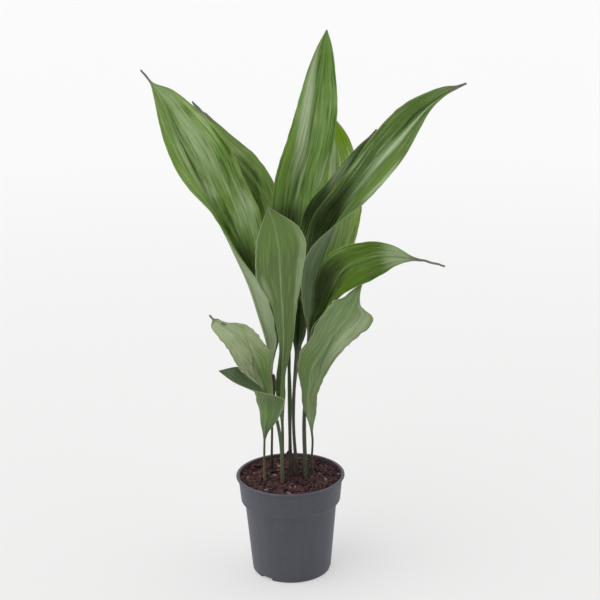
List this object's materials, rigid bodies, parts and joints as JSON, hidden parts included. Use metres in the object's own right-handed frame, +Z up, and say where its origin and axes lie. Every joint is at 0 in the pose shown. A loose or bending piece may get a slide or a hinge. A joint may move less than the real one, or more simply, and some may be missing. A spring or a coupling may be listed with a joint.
{
  "type": "potted cast iron plant",
  "caption": "House plant of long lance-shaped pleated leaves on thin stalks, standing in soil in a plain tapered plastic nursery pot.",
  "frame": {"origin": "middle of the flat pad under the pot's base, on the surface that the pot stands on", "axes": "+Z up along the pot's axis, -Y towards the front, +X to the right seen from the front"},
  "size_m": [0.397, 0.2513, 0.6851],
  "materials": {
    "pot_plastic": "satin dark blue-grey moulded plastic",
    "potting_soil": "loose damp peat with bark",
    "leaf": "waxy green leaf"
  },
  "bodies": {
    "root": {"pot": "pot_plastic", "soil": "potting_soil", "leaf_tall_middle": "leaf", "leaf_left_large": "leaf", "leaf_left_back": "leaf", "leaf_middle_back": "leaf", "leaf_right_large": "leaf", "leaf_right_narrow": "leaf", "leaf_right_arching": "leaf", "leaf_front": "leaf", "leaf_left_small": "leaf", "leaf_right_small": "leaf", "leaf_left_bent": "leaf"}
  },
  "joints": []
}
